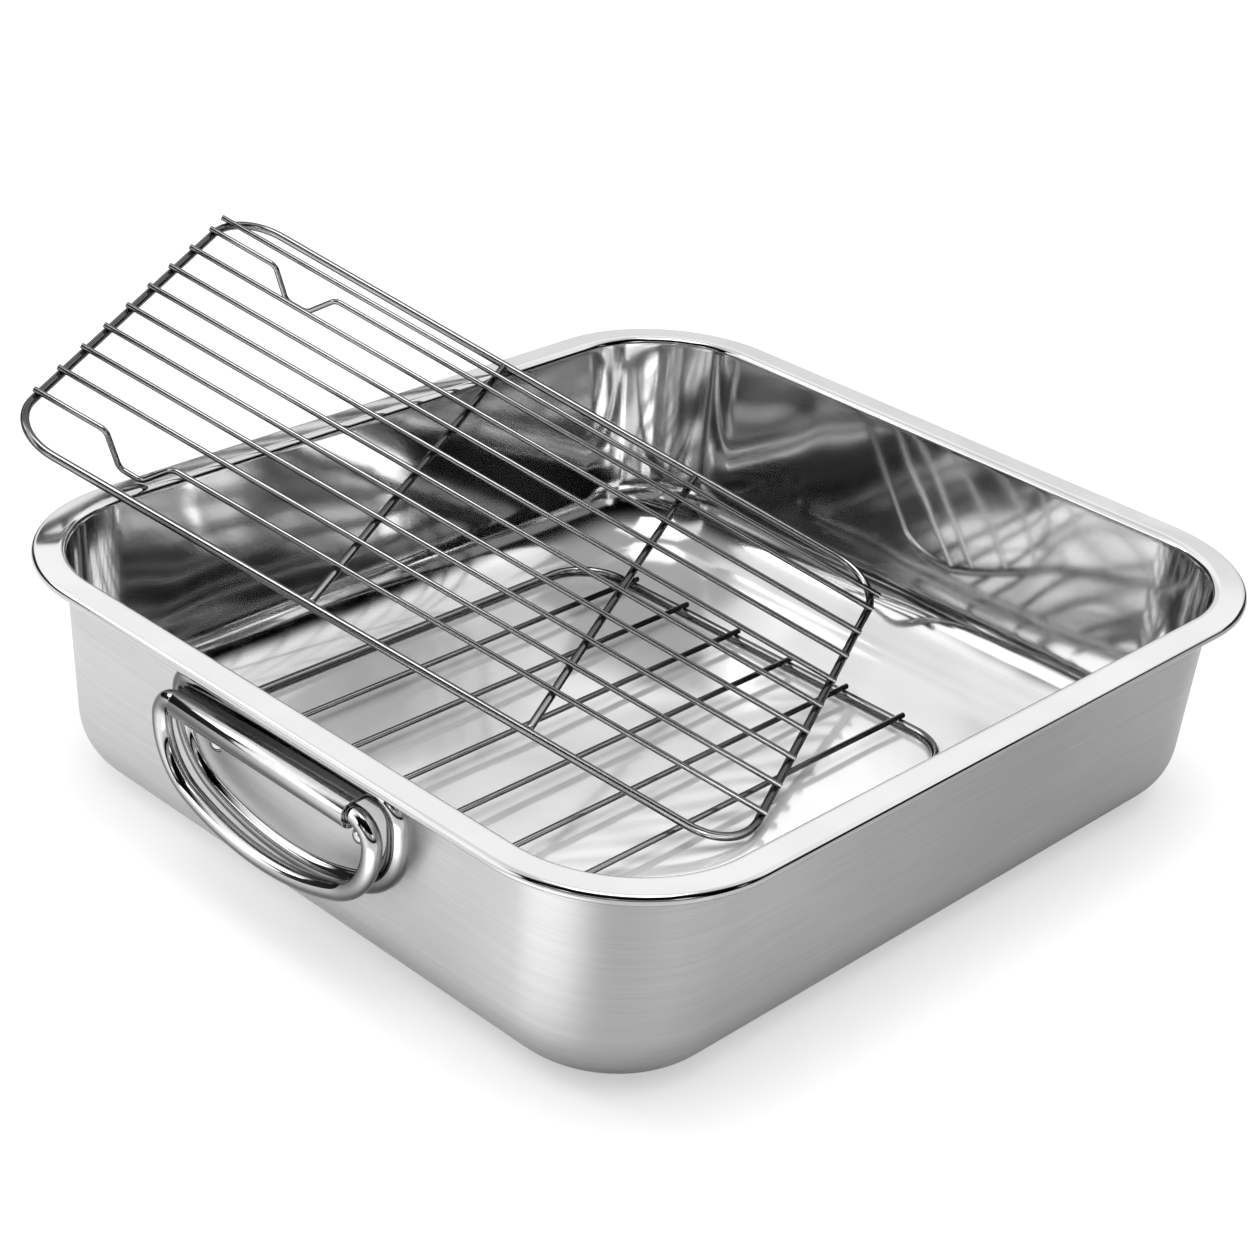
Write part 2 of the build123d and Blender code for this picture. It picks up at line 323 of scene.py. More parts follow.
def wire_ends(node):
    """The two ends of a straight wire's axis."""
    points = node_points(node)
    middle = sum(points, Vector()) / len(points)
    far = max(points, key=lambda point: (point - middle).length)
    end_ring = [point for point in points if (point - far).length < WIRE_REACH]
    end = sum(end_ring, Vector()) / len(end_ring)
    start_ring = [point for point in points if (point - (2 * middle - end)).length < WIRE_REACH]
    return sum(start_ring, Vector()) / len(start_ring), end


def heading_of(node, towards):
    """Unit vector along a straight wire, pointing the same way as a rough direction."""
    start, end = wire_ends(node)
    heading = (end - start).normalized()
    return heading if heading.dot(towards) > 0 else -heading


# Effects shared by the finishes


def new_group(name, inputs, outputs):
    """An empty node group with its named sockets, and its first and last node."""
    group = bpy.data.node_groups.new(name, "ShaderNodeTree")
    for title, kind, default in inputs:
        socket = group.interface.new_socket(name=title, in_out="INPUT", socket_type=kind)
        socket.default_value = default
    for title, kind in outputs:
        group.interface.new_socket(name=title, in_out="OUTPUT", socket_type=kind)
    start = group.nodes.new("NodeGroupInput")
    end = group.nodes.new("NodeGroupOutput")
    return group, start, end


def wire_up(tree, *links):
    """Links each pair of sockets."""
    for source, target in links:
        tree.links.new(source, target)


def math_node(tree, operation, first, second):
    """The result of one operation on two values, each a number or a socket."""
    node = tree.nodes.new("ShaderNodeMath")
    node.operation = operation
    for socket, value in zip(node.inputs, (first, second)):
        if isinstance(value, (int, float)):
            socket.default_value = value
        else:
            tree.links.new(value, socket)
    return node.outputs[0]


def ramp_node(tree, value, low, high, out_low, out_high):
    """Eases a value's range from low to high into another range."""
    node = tree.nodes.new("ShaderNodeMapRange")
    node.interpolation_type = "SMOOTHSTEP"
    tree.links.new(value, node.inputs["Value"])
    node.inputs["From Min"].default_value = low
    node.inputs["From Max"].default_value = high
    node.inputs["To Min"].default_value = out_low
    node.inputs["To Max"].default_value = out_high
    return node.outputs["Result"]


def noise_node(tree, vector, scale, detail, distortion=0.0):
    """Noise with a number of features to the metre."""
    node = tree.nodes.new("ShaderNodeTexNoise")
    tree.links.new(vector, node.inputs["Vector"])
    node.inputs["Scale"].default_value = scale
    node.inputs["Detail"].default_value = detail
    node.inputs["Distortion"].default_value = distortion
    return node.outputs["Fac"]


def stretch_node(tree, vector, scale):
    """Coordinates scaled apart along the three axes."""
    node = tree.nodes.new("ShaderNodeMapping")
    node.inputs["Scale"].default_value = scale
    tree.links.new(vector, node.inputs["Vector"])
    return node.outputs["Vector"]


def make_brushing():
    """Fine level lines left by a brushing belt, with a broad drift in how rough they are."""
    group, start, end = new_group(
        "Belt brushing",
        [("Vector", "NodeSocketVector", (0, 0, 0))],
        [("Lines", "NodeSocketFloat"), ("Drift", "NodeSocketFloat")],
    )
    source = start.outputs["Vector"]
    fine = noise_node(group, stretch_node(group, source, (40, 40, 2600)), 1, 3)
    broad = noise_node(group, stretch_node(group, source, (9, 9, 500)), 1, 2)
    fine_share = math_node(group, "MULTIPLY", fine, 0.65)
    broad_share = math_node(group, "MULTIPLY", broad, 0.35)
    lines = math_node(group, "ADD", fine_share, broad_share)
    drift = noise_node(group, source, 14, 2)
    wire_up(group, (lines, end.inputs["Lines"]), (drift, end.inputs["Drift"]))
    return group


def make_polish():
    """Long soft waves of drawn and polished sheet, with faint hairlines and wiping marks."""
    group, start, end = new_group(
        "Polished sheet",
        [("Vector", "NodeSocketVector", (0, 0, 0))],
        [("Waves", "NodeSocketFloat"), ("Hairlines", "NodeSocketFloat"), ("Wiping", "NodeSocketFloat")],
    )
    source = start.outputs["Vector"]
    long_waves = noise_node(group, stretch_node(group, source, (9, 9, 6)), 1, 0, 0.4)
    short_waves = noise_node(group, stretch_node(group, source, (26, 26, 12)), 1, 0, 0.3)
    waves = math_node(group, "ADD", long_waves, math_node(group, "MULTIPLY", short_waves, 0.12))
    hairlines = noise_node(group, stretch_node(group, source, (1500, 90, 1500)), 1, 2)
    wiping = noise_node(group, source, 22, 1, 1.2)
    wire_up(
        group,
        (waves, end.inputs["Waves"]),
        (hairlines, end.inputs["Hairlines"]),
        (wiping, end.inputs["Wiping"]),
    )
    return group


def make_plating():
    """Small unevenness of plated or tumbled wire, with dull spots."""
    group, start, end = new_group(
        "Bright plating",
        [("Vector", "NodeSocketVector", (0, 0, 0))],
        [("Ripple", "NodeSocketFloat"), ("Spots", "NodeSocketFloat")],
    )
    source = start.outputs["Vector"]
    ripple = noise_node(group, source, 160, 2)
    spots = noise_node(group, source, 420, 3)
    wire_up(group, (ripple, end.inputs["Ripple"]), (spots, end.inputs["Spots"]))
    return group


GROUPS = {}

# How far wiping marks darken polished sheet, and the finish of the pan's walls and floor
WIPING_DEPTH = 0.05
WALL_ROUGHNESS = 0.08
FLOOR_ROUGHNESS = 0.12
FLOOR_METAL = 0.4


def place_group(material, group_name):
    """A shared effect placed in a material, fed with object coordinates."""
    tree = material.node_tree
    node = tree.nodes.new("ShaderNodeGroup")
    node.node_tree = GROUPS[group_name]
    where = tree.nodes.new("ShaderNodeTexCoord")
    tree.links.new(where.outputs["Object"], node.inputs["Vector"])
    return node


def new_metal(name, tint):
    """A metal with its shader, and its tint for viewing without shading."""
    material = bpy.data.materials.new(name)
    material.use_nodes = True
    material.diffuse_color = (*tint, 1)
    shader = material.node_tree.nodes["Principled BSDF"]
    shader.inputs["Metallic"].default_value = 1
    return material, material.node_tree, shader


def darker(tint, depth):
    """A tint less a share of itself."""
    return tuple(part * (1 - depth) for part in tint)


def mix_node(tree, factor, first, second):
    """The first colour where a factor is 0 and the second where it is 1, each a tint or a socket."""
    mix = tree.nodes.new("ShaderNodeMix")
    mix.data_type = "RGBA"
    tree.links.new(factor, mix.inputs["Factor"])
    for name, value in (("A", first), ("B", second)):
        if isinstance(value, tuple):
            mix.inputs[name].default_value = (*value, 1)
        else:
            tree.links.new(value, mix.inputs[name])
    return mix.outputs["Result"]


def tone(tree, shader, tint, mask, depth):
    """The tint, darkened where a mask is low."""
    tree.links.new(mix_node(tree, mask, darker(tint, depth), tint), shader.inputs["Base Color"])


def raise_surface(tree, shader, height, strength, distance):
    """Shades a height as bumps, at most a distance in metres high."""
    bump = tree.nodes.new("ShaderNodeBump")
    bump.inputs["Strength"].default_value = strength
    bump.inputs["Distance"].default_value = distance
    wire_up(tree, (height, bump.inputs["Height"]), (bump.outputs["Normal"], shader.inputs["Normal"]))


def height_mask(tree, low, high):
    """0 below a height and 1 above a second one, in the piece's own coordinates."""
    where = tree.nodes.new("ShaderNodeTexCoord")
    split = tree.nodes.new("ShaderNodeSeparateXYZ")
    tree.links.new(where.outputs["Object"], split.inputs[0])
    return ramp_node(tree, split.outputs["Z"], low, high, 0, 1)


def polish_roughness(tree, polish, base):
    """A base roughness, a number or a socket, with wiping marks and hairlines on it."""
    marks = ramp_node(tree, polish.outputs["Wiping"], 0.3, 0.75, 0, 0.02)
    hairs = math_node(tree, "MULTIPLY", polish.outputs["Hairlines"], 0.01)
    return math_node(tree, "ADD", math_node(tree, "ADD", marks, hairs), base)


def make_rim(name, tint, waviness, roughness):
    """Polished flat rim, with wavy reflections and wiping marks."""
    material, tree, shader = new_metal(name, tint)
    polish = place_group(material, "Polished sheet")
    wiping = ramp_node(tree, polish.outputs["Wiping"], 0.35, 0.7, 0, 1)
    tone(tree, shader, tint, wiping, WIPING_DEPTH)
    tree.links.new(polish_roughness(tree, polish, roughness), shader.inputs["Roughness"])
    raise_surface(tree, shader, polish.outputs["Waves"], 1.0, waviness)
    return material


def make_inside(name, tint, shaded_wall_tint, waviness):
    """Polished inside: mirror walls, tinted darker than the floor as painted shade, over a floor that is
    satin where it is seen directly.
    """
    material, tree, shader = new_metal(name, tint)
    polish = place_group(material, "Polished sheet")
    wall = height_mask(tree, 0.0012, 0.012)
    wiping = ramp_node(tree, polish.outputs["Wiping"], 0.35, 0.7, 0, 1)
    # Painted shade: the walls take a darker tint than the floor; the wiping marks are real
    dull = mix_node(tree, wall, darker(tint, WIPING_DEPTH), darker(shaded_wall_tint, WIPING_DEPTH))
    clean = mix_node(tree, wall, tint, shaded_wall_tint)
    tree.links.new(mix_node(tree, wiping, dull, clean), shader.inputs["Base Color"])
    direct = tree.nodes.new("ShaderNodeLightPath").outputs["Is Camera Ray"]
    satin = math_node(tree, "MULTIPLY", math_node(tree, "SUBTRACT", 1, wall), direct)
    base = ramp_node(tree, satin, 0, 1, WALL_ROUGHNESS, FLOOR_ROUGHNESS)
    tree.links.new(polish_roughness(tree, polish, base), shader.inputs["Roughness"])
    tree.links.new(ramp_node(tree, satin, 0, 1, 1, FLOOR_METAL), shader.inputs["Metallic"])
    raise_surface(tree, shader, polish.outputs["Waves"], 1.0, waviness)
    return material


def make_brushed(name, tint, roughness):
    """Brushed sheet: level lines that spread highlights upwards and downwards."""
    material, tree, shader = new_metal(name, tint)
    brushing = place_group(material, "Belt brushing")
    lines = ramp_node(tree, brushing.outputs["Lines"], 0.3, 0.7, 0, 1)
    tone(tree, shader, tint, lines, 0.10)
    rough = ramp_node(tree, brushing.outputs["Drift"], 0.3, 0.7, roughness - 0.03, roughness + 0.04)
    tree.links.new(rough, shader.inputs["Roughness"])
    raise_surface(tree, shader, brushing.outputs["Lines"], 0.22, 0.0001)
    shader.inputs["Anisotropic"].default_value = 0.8
    shader.inputs["Anisotropic Rotation"].default_value = 0.25
    tangent = tree.nodes.new("ShaderNodeTangent")
    tangent.direction_type = "RADIAL"
    tangent.axis = "Z"
    tree.links.new(tangent.outputs["Tangent"], shader.inputs["Tangent"])
    return material


def make_bright(name, tint, roughness, core, painted_shade_start, edge):
    """Bright round stock: nearly mirror, with painted shade that darkens its colour towards its outlines,
    with ripple and dull spots.
    """
    material, tree, shader = new_metal(name, tint)
    plating = place_group(material, "Bright plating")
    spots = ramp_node(tree, plating.outputs["Spots"], 0.35, 0.65, 0.94, 1)
    # Painted shade: the colour darkens towards the outlines, where dark surroundings would be mirrored;
    # the dull spots are real
    painted_shade_weight = tree.nodes.new("ShaderNodeLayerWeight")
    painted_shade_weight.inputs["Blend"].default_value = 0.5
    middle = ramp_node(tree, painted_shade_weight.outputs["Facing"], core, painted_shade_start, 1, 0)
    tone(tree, shader, tint, math_node(tree, "MULTIPLY", spots, middle), edge)
    rough = ramp_node(tree, plating.outputs["Spots"], 0.3, 0.7, roughness + 0.02, roughness)
    tree.links.new(rough, shader.inputs["Roughness"])
    raise_surface(tree, shader, plating.outputs["Ripple"], 0.12, 0.0002)
    return material


MATERIALS = {}

# Bright metals: name, tint, roughness, where the unshaded core ends and the painted shade on the
# flank starts, from 0 where the surface faces the eye to 1 at its outline, and how dark the painted shade
# is
BRIGHT_METALS = {
    "bracket": ("Polished bracket", "bright", 0.06, 0.1, 0.6, 0.9),
    "handle": ("Polished handle", "bright", 0.07, 0.15, 0.6, 0.85),
    "rivet": ("Polished rivet", "bright", 0.05, 0.2, 0.7, 0.8),
    "wire": ("Chromed wire", "chrome", 0.16, 0.04, 0.36, 0.90),
}

# Brushed metals: name and roughness
BRUSHED_METALS = {
    "outside": ("Brushed outside", 0.34),
    "underside": ("Rim underside", 0.25),
    "plate": ("Bracket plate", 0.30),
}


def prepare_finishes():
    """Builds the shared effects and the finishes once."""
    if MATERIALS:
        return
    GROUPS["Belt brushing"] = make_brushing()
    GROUPS["Polished sheet"] = make_polish()
    GROUPS["Bright plating"] = make_plating()
    tints = bpy.context.scene.pan_finishes
    MATERIALS["inside"] = make_inside("Mirror inside", tuple(tints.mirror), tuple(tints.wall), 0.005)
    MATERIALS["rim"] = make_rim("Polished rim", tuple(tints.rim), 0.0018, 0.07)
    for key, (name, roughness) in BRUSHED_METALS.items():
        MATERIALS[key] = make_brushed(name, tuple(tints.brushed), roughness)
    for key, (name, tint, *values) in BRIGHT_METALS.items():
        MATERIALS[key] = make_bright(name, tuple(getattr(tints, tint)), *values)


# The pan

# Parts of the wall and of the flat rim, narrow beside their bends so that these shade cleanly
WALL_SHARES = (0.02, 0.48, 0.48, 0.02)
FLANGE_SHARES = (0.05, 0.9, 0.05)

# How much of the lip's height is finished as the rim is
RIM_SHARE = 0.55


def add_pan_profile(sizes):
    """The inside skin's section on the +X side, from the floor's edge to the curl's end."""
    draft = sizes.draft
    cove = sizes.cove - sizes.sheet
    lip_x = sizes.width / 2 - sizes.flange
    lip_z = sizes.height - sizes.lip
    wall_x = lip_x - sizes.lip * math.cos(draft)
    wall_z = lip_z + sizes.lip * math.sin(draft)
    cove_z = sizes.sheet + cove
    low_z = cove_z - cove * math.sin(draft)
    low_x = wall_x - (wall_z - low_z) * math.tan(draft)
    floor_x = low_x - cove * math.cos(draft)
    add_point((floor_x, 0, sizes.sheet))
    profile = Bender((floor_x, 0, sizes.sheet), (1, 0, 0), (0, -1, 0))
    profile.bend(cove, QUARTER - draft, sizes.cove_steps)
    wall = (wall_z - low_z) / math.cos(draft)
    for share in WALL_SHARES:
        profile.straight(wall * share)
    profile.bend(sizes.lip, draft - QUARTER, sizes.lip_steps)
    flat = sizes.flange - sizes.curl
    for share in FLANGE_SHARES:
        profile.straight(flat * share)
    profile.bend(sizes.curl, -sizes.curl_turn, sizes.curl_steps)
    return floor_x


def draw_round(sizes):
    """Spins and extrudes the profile round the pan's rounded rectangle."""
    corner_x = sizes.width / 2 - sizes.corner
    corner_y = sizes.length / 2 - sizes.corner
    runs = [2 * corner_x, 2 * corner_y]
    bpy.ops.mesh.select_all(action="SELECT")
    shift = Vector((0, corner_y, 0))
    bpy.ops.transform.translate(value=shift)
    path = Bender((sizes.width / 2, corner_y, 0), (0, 1, 0), (0, 0, 1))
    for side in range(4):
        path.bend(sizes.corner, QUARTER, sizes.corner_steps)
        path.straight(runs[side % 2])


def select_where(test):
    """Selects the active mesh's edges whose ends both pass a test, in edit mode."""
    bpy.ops.mesh.select_all(action="DESELECT")
    bpy.ops.object.mode_set(mode="OBJECT")
    mesh = bpy.context.object.data
    for edge in mesh.edges:
        edge.select = all(test(mesh.vertices[index].co) for index in edge.vertices)
    bpy.ops.object.mode_set(mode="EDIT")
    bpy.ops.mesh.select_mode(type="EDGE")


class PANRACK_OT_pan(bpy.types.Operator):
    """Draws the pan's sheet, from its floor to its curled edge"""

    bl_idname = "panrack.pan"
    bl_label = "Pan"

    def execute(self, context):
        prepare_finishes()
        sizes = context.scene.pan_sizes
        floor_x = add_pan_profile(sizes)
        draw_round(sizes)
        bpy.ops.mesh.select_all(action="SELECT")
        bpy.ops.mesh.remove_doubles(threshold=SAME_SEAM)
        bpy.ops.mesh.select_all(action="DESELECT")
        self.fill_floor(sizes, floor_x + FLAT_BAND)
        bpy.ops.mesh.select_all(action="SELECT")
        bpy.ops.mesh.normals_make_consistent(inside=True)
        bpy.ops.object.mode_set(mode="OBJECT")
        piece = settle("pan_shell")
        paint(piece, "inside", "rim", "outside", "underside")
        self.face_upwards(piece)
        rim_line = sizes.height - sizes.lip * RIM_SHARE
        for face in piece.data.polygons:
            edge_in = min(sizes.width / 2 - abs(face.center.x), sizes.length / 2 - abs(face.center.y))
            face.material_index = 1 if face.center.z > rim_line or edge_in < sizes.curl * 2 else 0
        shell = piece.modifiers.new("Sheet", "SOLIDIFY")
        shell.thickness = sizes.sheet
        shell.offset = -1
        shell.use_even_offset = True
        shell.use_quality_normals = True
        shell.material_offset = 2
        shell.material_offset_rim = 2
        bpy.ops.object.modifier_apply(modifier=shell.name)
        bpy.ops.object.shade_smooth_by_angle(angle=SHEET_EDGE)
        stand_for(piece, "pan", "pan")
        return {"FINISHED"}

    def fill_floor(self, sizes, near):
        """Fills the floor inside the cove's foot, with a ring of faces along its edge."""
        far = sizes.length / 2 - (sizes.width / 2 - near)
        select_where(
            lambda co: abs(co.z - sizes.sheet) < SAME_POINT and abs(co.x) < near and abs(co.y) < far
        )
        bpy.ops.mesh.edge_face_add()
        bpy.ops.mesh.inset(thickness=sizes.floor_rim)

    def face_upwards(self, piece):
        """Turns the skin over if its floor looks down."""
        floor = min(piece.data.polygons, key=lambda face: face.center.z)
        if floor.normal.z < 0:
            piece.data.flip_normals()


# Handles, brackets and rivets


def end_side(end):
    """-1 for the front and 1 for the rear."""
    return -1 if end == "front" else 1


def bar_place(end):
    """The middle of the handle's bar axis, from its hinge."""
    joint = next(item for item in frame["joints"] if item["name"] == f"{end}_handle_hinge")
    return Vector(joint["pos_m"])


def bend_d(path, span, rise, depth, top_corner, low_corner, sole, lead, steps):
    """Draws a D from the middle of its top, clockwise, back to its start less a gap."""
    half = span / 2
    low_x = half - low_corner
    sole_y = sole - depth
    low_y = sole_y - math.sqrt((sole - low_corner) ** 2 - low_x**2)
    lean = math.atan2(low_x, sole_y - low_y)
    side_run = rise - top_corner - low_y
    path.straight(half - top_corner - lead)
    path.bend(top_corner, -QUARTER, steps)
    path.straight(side_run)
    path.bend(low_corner, -(QUARTER - lean), steps)
    path.bend(sole, -2 * lean, steps * 2)
    path.bend(low_corner, -(QUARTER - lean), steps)
    path.straight(side_run)
    path.bend(top_corner, -QUARTER, steps)
    path.straight(half - top_corner - lead)


class PANRACK_OT_handles(bpy.types.Operator):
    """Bends the two drop handles, each one rod"""

    bl_idname = "panrack.handles"
    bl_label = "Handles"

    def execute(self, context):
        prepare_finishes()
        sizes = context.scene.handle_sizes
        for end in ("front", "rear"):
            low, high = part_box(f"handle_{end}")
            bar = bar_place(end)
            right = Vector((-end_side(end), 0, 0))
            outwards = Vector((0, end_side(end), 0))
            span = high[0] - low[0] - 2 * sizes.rod
            depth = bar.z - low[2] - sizes.rod
            start = bar + right * sizes.rod_gap / 2
            add_round_section(start, right, sizes.rod, sizes.rod_sides)
            path = Bender(start, right, outwards)
            bend_d(
                path, span, 0, depth, sizes.top_corner, sizes.low_corner, sizes.sole,
                sizes.rod_gap / 2, sizes.bend_steps,
            )
            piece = cap_ends(f"drop_handle_{end}", sizes.rod_end)
            paint(piece, "handle")
            stand_for(piece, f"handle_{end}", f"handle_{end}")
        return {"FINISHED"}


def wall_axes(end, draft):
    """Right, up and outwards on the pan's wall behind a bracket."""
    side = end_side(end)
    outwards = Vector((0, side * math.cos(draft), -math.sin(draft)))
    right = Vector((-side, 0, 0))
    return right, outwards.cross(right), outwards


def add_border(sizes, wall, axes, span, rise, depth):
    """The raised border, a rounded profile drawn round the D and hollowed onto the plate."""
    right, up, outwards = axes
    half = sizes.border / 2
    crown = sizes.border_height - half
    fillet = sizes.border_fillet
    lift = sizes.plate + fillet - crown
    turn = 2 * QUARTER - math.asin(lift / (half + fillet))
    start = wall + up * (rise + half)
    add_point(start)
    profile = Bender(start, outwards, right)
    profile.straight(crown)
    profile.bend(half, turn, sizes.crown_steps)
    profile.bend(fillet, QUARTER - turn, sizes.fillet_steps)
    bpy.ops.mesh.select_all(action="SELECT")
    path = Bender(wall + up * rise, right, outwards)
    bend_d(
        path, span, rise, depth, sizes.border_top, sizes.border_low, sizes.border_sole, 0,
        sizes.bend_steps,
    )
    fill_openings()
    bpy.ops.object.mode_set(mode="OBJECT")
    piece = bpy.context.object
    paint(piece, "bracket", "plate")
    for face in piece.data.polygons:
        height = (face.center - wall).dot(outwards)
        face.material_index = 1 if face.area > sizes.border**2 and height > sizes.plate / 2 else 0
    return piece


def add_sleeve(sizes, bar, axes, reach):
    """The strip from the border, curled round the bar: one bent sheet."""
    right, up, outwards = axes
    inner = sizes.rod + sizes.clearance
    outer = inner + sizes.plate
    start = bar + right * sizes.sleeve / 2 - outwards * reach + up * outer
    add_point(start)
    profile = Bender(start, outwards, right)
    profile.straight(reach)
    profile.bend(outer, sizes.sleeve_turn, sizes.sleeve_steps)
    profile.bend(sizes.plate / 2, 2 * QUARTER, sizes.lip_steps)
    profile.bend(inner, -sizes.sleeve_turn, sizes.sleeve_steps)
    profile.straight(reach)
    bpy.ops.mesh.select_all(action="SELECT")
    bpy.ops.mesh.edge_face_add()
    bpy.ops.mesh.extrude_region_move(TRANSFORM_OT_translate={"value": -right * sizes.sleeve})
    bpy.ops.mesh.select_all(action="SELECT")
    bpy.ops.mesh.normals_make_consistent(inside=False)
    bpy.ops.object.mode_set(mode="OBJECT")
    soften(sizes.sheet_edge)
    paint(bpy.context.object, "bracket")
    return settle("sleeve")


def add_rivet(sizes, wall, axes, place_right, drop):
    """One domed head on the plate: a turned profile."""
    right, up, outwards = axes
    base = wall + outwards * sizes.plate + right * place_right - up * drop
    radius = sizes.rivet
    crown = sizes.rivet_crown
    ball = (radius**2 + crown**2) / (2 * crown)
    lean = math.asin(radius / ball)
    start = base + right * radius
    add_point(start)
    profile = Bender(start, outwards * math.sin(lean) - right * math.cos(lean), up)
    profile.bend(ball, -lean, sizes.dome_steps)
    bpy.ops.mesh.select_all(action="SELECT")
    bpy.ops.mesh.spin(steps=sizes.rivet_sides, angle=4 * QUARTER, center=base, axis=outwards)
    fill_openings()
    bpy.ops.object.mode_set(mode="OBJECT")
    return settle("rivet")


def join_pieces(pieces, name):
    """Several drawn pieces as one object."""
    start_piece()
    for piece in pieces:
        piece.select_set(True)
    bpy.context.view_layer.objects.active = pieces[0]
    bpy.ops.object.join()
    return settle(name)


def wall_behind(end, sizes, pan):
    """The wall's axes, and its place at the bar's height with and without the bracket's seat."""
    bar = bar_place(end)
    axes = wall_axes(end, pan.draft)
    lip_wall = (pan.lip - pan.sheet) / math.cos(pan.draft)
    inset = pan.flange + lip_wall + (pan.height - pan.lip - bar.z) * math.tan(pan.draft)
    foot = Vector((0, end_side(end) * (pan.length / 2 - inset), bar.z))
    return axes, foot + axes[2] * sizes.seat, foot


class PANRACK_OT_brackets(bpy.types.Operator):
    """Presses the two handle brackets: border, plate and curled sleeve"""

    bl_idname = "panrack.brackets"
    bl_label = "Brackets"

    def execute(self, context):
        prepare_finishes()
        sizes = context.scene.handle_sizes
        pan = context.scene.pan_sizes
        for end in ("front", "rear"):
            low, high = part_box(f"bracket_{end}")
            bar = bar_place(end)
            axes, wall, foot = wall_behind(end, sizes, pan)
            span = high[0] - low[0] - sizes.border
            border = add_border(sizes, wall, axes, span, sizes.border_rise, sizes.border_depth)
            level = (axes[0], UP, Vector((0, end_side(end), 0)))
            reach = abs(bar.y - foot.y) - sizes.border_height / 2
            sleeve = add_sleeve(sizes, bar, level, reach)
            piece = join_pieces([border, sleeve], f"handle_bracket_{end}")
            bpy.ops.object.shade_smooth_by_angle(angle=SMALL_EDGE)
            stand_for(piece, "pan", f"bracket_{end}")
        return {"FINISHED"}


class PANRACK_OT_rivets(bpy.types.Operator):
    """Heads the two rivets that hold each bracket"""

    bl_idname = "panrack.rivets"
    bl_label = "Rivets"

    def execute(self, context):
        prepare_finishes()
        sizes = context.scene.handle_sizes
        pan = context.scene.pan_sizes
        for end in ("front", "rear"):
            axes, wall, _ = wall_behind(end, sizes, pan)
            heads = [
                add_rivet(sizes, wall, axes, side * sizes.rivet_spread / 2, sizes.rivet_drop)
                for side in (-1, 1)
            ]
            piece = join_pieces(heads, f"rivet_heads_{end}")
            bpy.ops.object.shade_smooth_by_angle(angle=SMALL_EDGE)
            paint(piece, "rivet")
            stand_for(piece, "pan", f"rivets_{end}")
        return {"FINISHED"}


# The racks

# Width of the softened edge at a wire's end, as a share of its radius
WIRE_END_SHARE = 0.3


def add_ring(name, plane, sizes):
    """A closed frame of round wire with bent corners."""
    corner = sizes.corner
    width = plane["width"] - 2 * sizes.frame_wire
    run = plane["length"] - 2 * sizes.frame_wire
    start = plane["centre"] + plane["right"] * width / 2 - plane["ahead"] * (run / 2 - corner)
    add_round_section(start, plane["ahead"], sizes.frame_wire, sizes.sides)
    path = Bender(start, plane["ahead"], plane["normal"])
    straights = [run - 2 * corner, width - 2 * corner]
    for side in range(4):
        path.straight(straights[side % 2])
        path.bend(corner, QUARTER, sizes.bend_steps)
    piece = close_loop(name)
    paint(piece, "wire")
    return piece


def add_wire(name, start, end, radius, sides):
    """A straight wire with softened ends."""
    add_round_section(start, end - start, radius, sides)
    path = Bender(start, end - start, UP)
    path.straight((end - start).length)
    piece = cap_ends(name, radius * WIRE_END_SHARE)
    paint(piece, "wire")
    return piece


def rack_plane(frame_node, wire_node, cross_direction):
    """Centre, right, ahead, normal, width and length of a rack's frame, from its nodes."""
    ahead = heading_of(wire_node, Vector((1, 1, 0)))
    points = node_points(frame_node)
    normal = cross_direction(ahead)
    right = ahead.cross(normal)
    low_r, high_r = spread(points, right)
    low_a, high_a = spread(points, ahead)
    low_n, high_n = spread(points, normal)
    return {
        "centre": (right * (low_r + high_r) + ahead * (low_a + high_a) + normal * (low_n + high_n)) / 2,
        "right": right,
        "ahead": ahead,
        "normal": normal,
        "width": high_r - low_r,
        "length": high_a - low_a,
    }


class PANRACK_OT_lower_rack(bpy.types.Operator):
    """Makes the rack that lies flat on the pan's floor"""

    bl_idname = "panrack.lower_rack"
    bl_label = "Flat rack"

    def execute(self, context):
        prepare_finishes()
        sizes = context.scene.rack_sizes
        plane = rack_plane("lower_frame", "lower_wire_1", lambda _: UP)
        piece = add_ring("flat_rack_frame", plane, sizes)
        stand_for(piece, "lower_rack", "lower_frame")
        for number in range(1, 7):
            start, end = wire_ends(f"lower_wire_{number}")
            piece = add_wire(f"flat_rack_wire_{number}", start, end, sizes.grid_wire, sizes.sides)
            stand_for(piece, "lower_rack", f"lower_wire_{number}")
        return {"FINISHED"}


